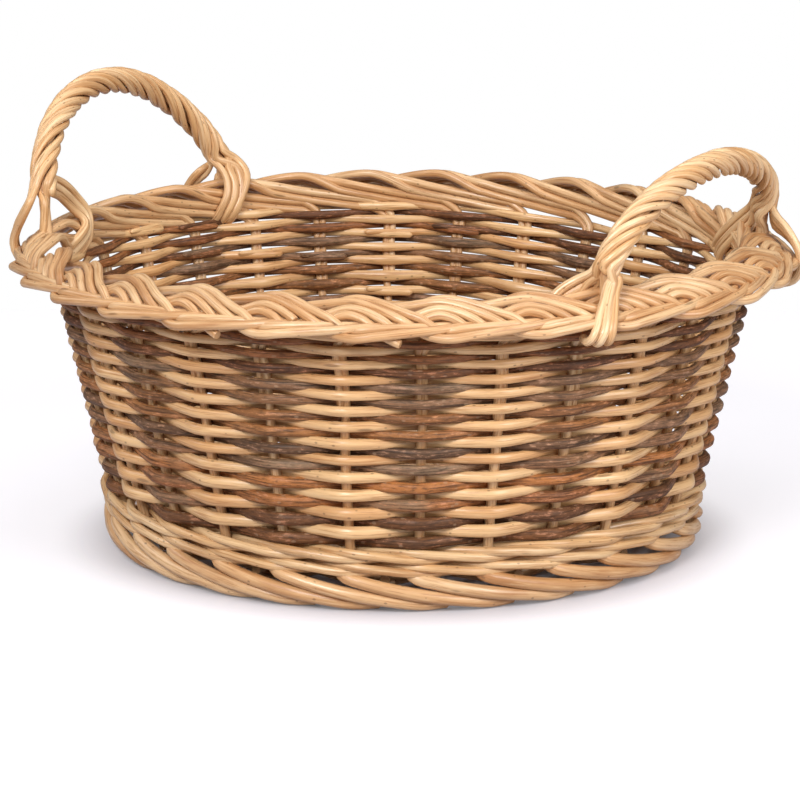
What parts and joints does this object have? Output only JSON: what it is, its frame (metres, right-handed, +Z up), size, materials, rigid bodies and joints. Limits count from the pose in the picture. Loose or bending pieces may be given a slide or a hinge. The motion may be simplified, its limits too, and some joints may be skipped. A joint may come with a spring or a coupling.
{
  "type": "gift basket",
  "caption": "Round open basket woven from light and dark willow rods, with a flared wall, plaited rim and foot borders and rope-twisted side handles.",
  "frame": {"origin": "on the floor under the middle of the base", "axes": "+Z up out of the basket's mouth; +X towards the lower of the two handles; +Y square to the line through both handles"},
  "size_m": [0.3464, 0.3464, 0.198],
  "materials": {
    "buff_willow": "boiled and peeled willow, clear varnish, satin",
    "light_willow": "boiled and peeled willow, clear varnish, satin",
    "wale_willow": "peeled willow, clear varnish, satin",
    "handle_bow_willow": "boiled and peeled willow, clear varnish, satin",
    "handle_wrap_willow": "peeled willow, clear varnish, satin",
    "base_willow": "peeled willow, matt",
    "umber_willow": "bark-on willow, dark, clear varnish, satin",
    "russet_willow": "bark-on willow, dark, clear varnish, satin",
    "grey_brown_willow": "bark-on willow, dark, clear varnish, satin",
    "amber_willow": "bark-on willow, dark, clear varnish, satin",
    "slate_willow": "bark-on willow, dark, clear varnish, satin",
    "chestnut_willow": "bark-on willow, dark, clear varnish, satin"
  },
  "bodies": {
    "root": {"stake_01": "buff_willow", "stake_02": "buff_willow", "stake_03": "buff_willow", "stake_04": "buff_willow", "stake_05": "buff_willow", "stake_06": "buff_willow", "stake_07": "buff_willow", "stake_08": "buff_willow", "stake_09": "buff_willow", "stake_10": "buff_willow", "stake_11": "buff_willow", "stake_12": "buff_willow", "stake_13": "buff_willow", "stake_14": "buff_willow", "stake_15": "buff_willow", "stake_16": "buff_willow", "stake_17": "buff_willow", "stake_18": "buff_willow", "stake_19": "buff_willow", "stake_20": "buff_willow", "stake_21": "buff_willow", "stake_22": "buff_willow", "stake_23": "buff_willow", "stake_24": "buff_willow", "stake_25": "buff_willow", "stake_26": "buff_willow", "stake_27": "buff_willow", "stake_28": "buff_willow", "dark_weaver_1": "umber_willow", "dark_weaver_2": "russet_willow", "dark_weaver_3": "grey_brown_willow", "dark_weaver_4": "amber_willow", "dark_weaver_5": "slate_willow", "dark_weaver_6": "chestnut_willow", "light_weaver_1": "light_willow", "light_weaver_2": "light_willow", "light_weaver_3": "light_willow", "light_weaver_4": "light_willow", "light_weaver_5": "light_willow", "light_weaver_6": "light_willow", "wale_rod_1": "wale_willow", "wale_rod_2": "wale_willow", "wale_rod_3": "wale_willow", "base_stick_1": "base_willow", "base_stick_2": "base_willow", "base_stick_3": "base_willow", "base_stick_4": "base_willow", "base_stick_5": "base_willow", "base_stick_6": "base_willow", "base_stick_7": "base_willow", "base_weaver_1": "base_willow", "base_weaver_2": "base_willow", "left_handle_bow": "handle_bow_willow", "left_handle_wrap_1": "handle_wrap_willow", "left_handle_wrap_2": "handle_wrap_willow", "left_handle_wrap_3": "handle_wrap_willow", "right_handle_bow": "handle_bow_willow", "right_handle_wrap_1": "handle_wrap_willow", "right_handle_wrap_2": "handle_wrap_willow", "right_handle_wrap_3": "handle_wrap_willow"}
  },
  "joints": []
}
